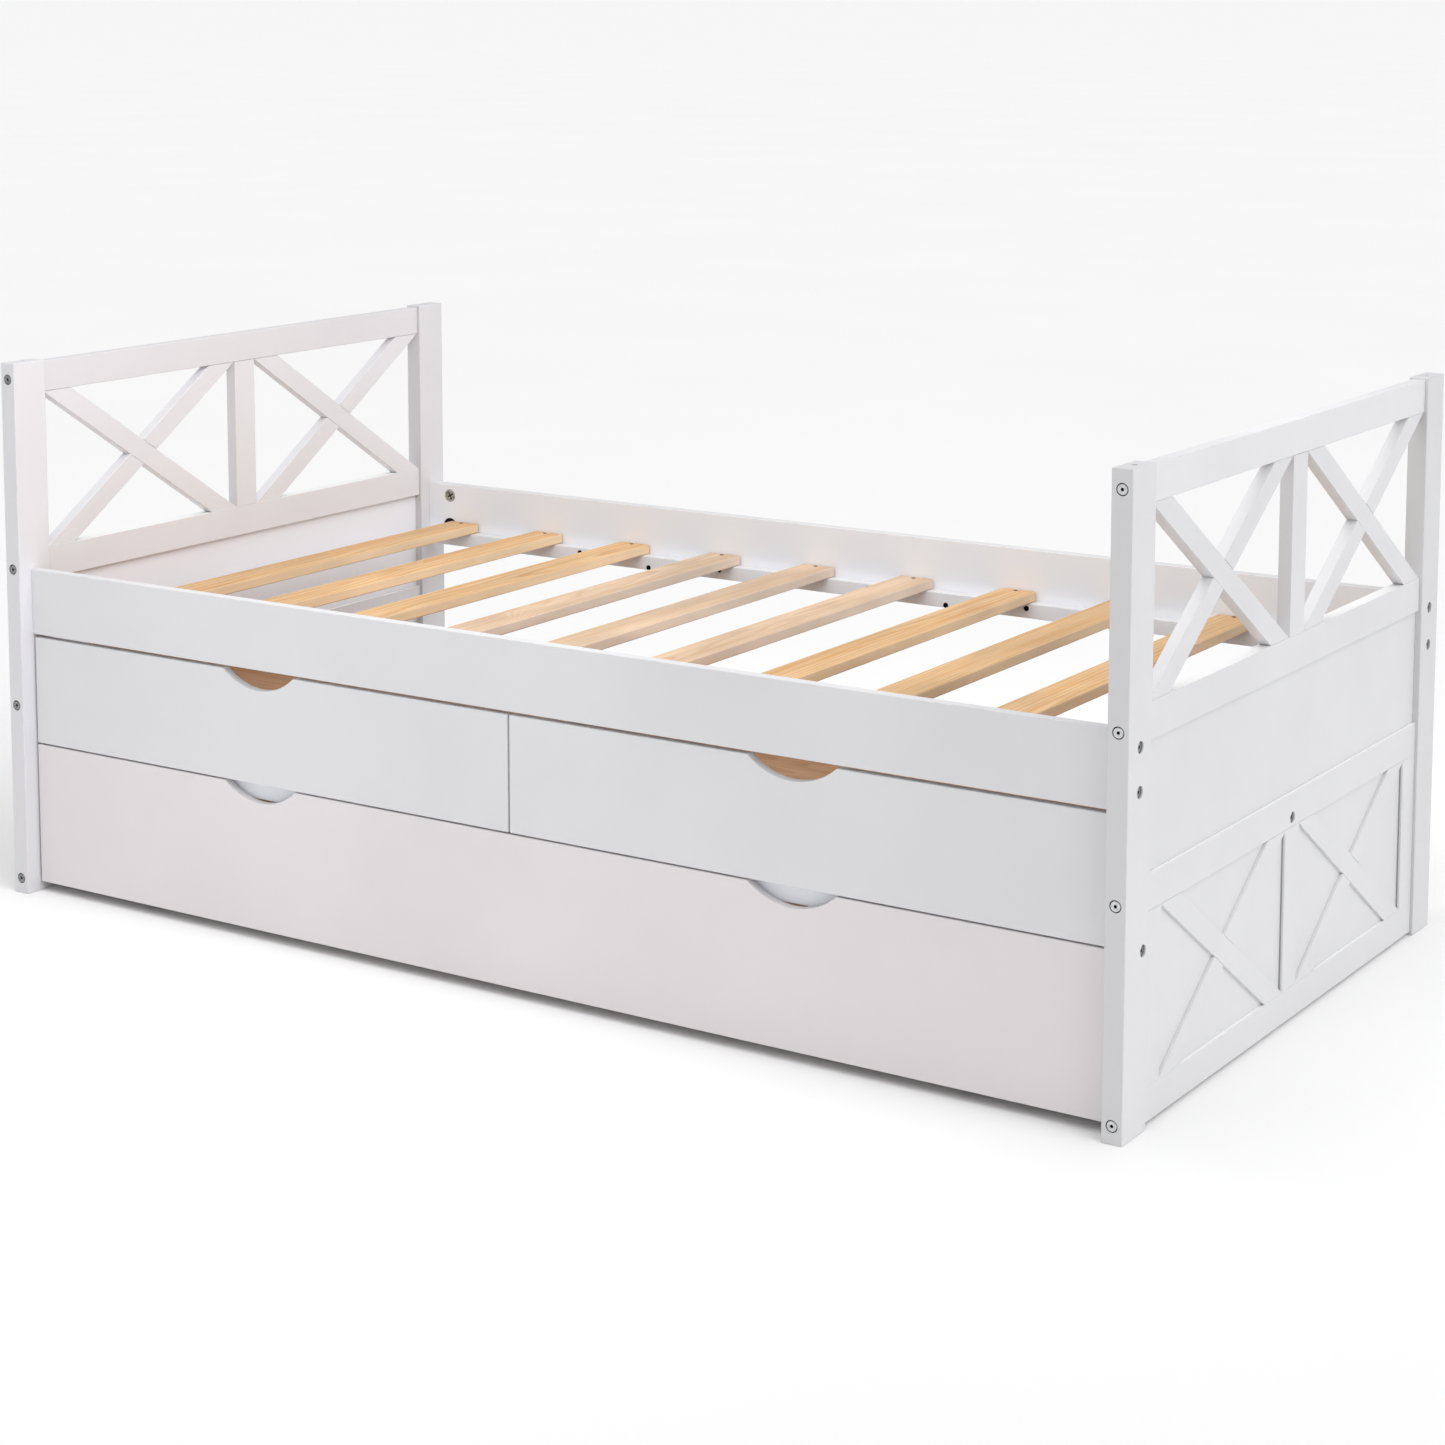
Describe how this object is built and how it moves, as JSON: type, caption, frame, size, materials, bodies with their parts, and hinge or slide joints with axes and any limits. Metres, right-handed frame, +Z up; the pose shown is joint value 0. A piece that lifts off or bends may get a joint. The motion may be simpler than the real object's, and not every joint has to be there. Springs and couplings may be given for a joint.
{
  "type": "trundle bed",
  "caption": "White wooden single bed with cross-battened ends and bare slats, drawers side by side under the front rail and a pull-out trundle on wheels below them.",
  "frame": {"origin": "on the floor, in the middle of the bed's outer length and width", "axes": "+Z up, +X along the length from the head end to the foot end, -Y towards the front with the drawers"},
  "size_m": [2, 1.13, 0.884],
  "materials": {
    "white_paint": "satin white paint over wood",
    "pine": "planed pine, clear and unpainted",
    "pale_pine": "planed pale pine, clear and unpainted",
    "plywood": "raw light brown plywood",
    "zinc_steel": "zinc plated",
    "wheel_nylon": "black moulded nylon"
  },
  "bodies": {
    "bed_frame": {"head_front_post": "white_paint", "head_back_post": "white_paint", "head_front_falling_batten": "white_paint", "head_front_rising_batten": "white_paint", "head_back_falling_batten": "white_paint", "head_back_rising_batten": "white_paint", "head_top_rail": "white_paint", "head_mullion": "white_paint", "head_mid_rail": "white_paint", "head_upper_panel": "white_paint", "head_low_rail": "white_paint", "head_lower_panel": "white_paint", "head_bottom_rail": "white_paint", "foot_front_post": "white_paint", "foot_back_post": "white_paint", "foot_front_falling_batten": "white_paint", "foot_front_rising_batten": "white_paint", "foot_back_falling_batten": "white_paint", "foot_back_rising_batten": "white_paint", "foot_top_rail": "white_paint", "foot_mullion": "white_paint", "foot_mid_rail": "white_paint", "foot_upper_panel": "white_paint", "foot_low_rail": "white_paint", "foot_lower_panel": "white_paint", "foot_bottom_rail": "white_paint", "front_side_rail": "white_paint", "back_side_rail": "white_paint", "front_slat_cleat": "white_paint", "back_slat_cleat": "white_paint", "slat_1": "pine", "slat_2": "pine", "slat_3": "pine", "slat_4": "pale_pine", "slat_5": "pale_pine", "slat_6": "pale_pine", "slat_7": "pine", "slat_8": "pine", "slat_9": "pine", "slat_10": "pine", "shelf_front_rail": "white_paint", "centre_beam": "white_paint", "drawer_shelf": "plywood"},
    "left_drawer": {"left_drawer_front": "white_paint", "left_drawer_box": "plywood", "left_drawer_bottom": "plywood"},
    "right_drawer": {"right_drawer_front": "white_paint", "right_drawer_box": "plywood", "right_drawer_bottom": "plywood"},
    "trundle": {"trundle_front": "white_paint", "trundle_tray": "white_paint", "trundle_slat_mat": "pine", "head_front_caster_fork": "zinc_steel", "head_back_caster_fork": "zinc_steel", "foot_front_caster_fork": "zinc_steel", "foot_back_caster_fork": "zinc_steel"},
    "head_front_wheel": {"head_front_wheel": "wheel_nylon"},
    "head_back_wheel": {"head_back_wheel": "wheel_nylon"},
    "foot_front_wheel": {"foot_front_wheel": "wheel_nylon"},
    "foot_back_wheel": {"foot_back_wheel": "wheel_nylon"}
  },
  "joints": [
    {"name": "left_drawer_slide", "type": "slide", "parent": "bed_frame", "child": "left_drawer", "axis": [0, -1, 0], "range_m": [0, 0.38]},
    {"name": "right_drawer_slide", "type": "slide", "parent": "bed_frame", "child": "right_drawer", "axis": [0, -1, 0], "range_m": [0, 0.38]},
    {"name": "trundle_slide", "type": "slide", "parent": "bed_frame", "child": "trundle", "axis": [0, -1, 0], "range_m": [0, 0.95]},
    {"name": "head_front_wheel_spin", "type": "hinge", "parent": "trundle", "child": "head_front_wheel", "pos_m": [-0.75, -0.4812, 0.02], "axis": [1, 0, 0], "range_deg": [0, 2725]},
    {"name": "head_back_wheel_spin", "type": "hinge", "parent": "trundle", "child": "head_back_wheel", "pos_m": [-0.75, 0.4695, 0.02], "axis": [1, 0, 0], "range_deg": [0, 2725]},
    {"name": "foot_front_wheel_spin", "type": "hinge", "parent": "trundle", "child": "foot_front_wheel", "pos_m": [0.75, -0.4812, 0.02], "axis": [1, 0, 0], "range_deg": [0, 2725]},
    {"name": "foot_back_wheel_spin", "type": "hinge", "parent": "trundle", "child": "foot_back_wheel", "pos_m": [0.75, 0.4695, 0.02], "axis": [1, 0, 0], "range_deg": [0, 2725]}
  ],
  "couplings": [
    {"joint": "head_front_wheel_spin", "follows": "trundle_slide", "rad_per_m": 50},
    {"joint": "head_back_wheel_spin", "follows": "trundle_slide", "rad_per_m": 50},
    {"joint": "foot_front_wheel_spin", "follows": "trundle_slide", "rad_per_m": 50},
    {"joint": "foot_back_wheel_spin", "follows": "trundle_slide", "rad_per_m": 50}
  ]
}
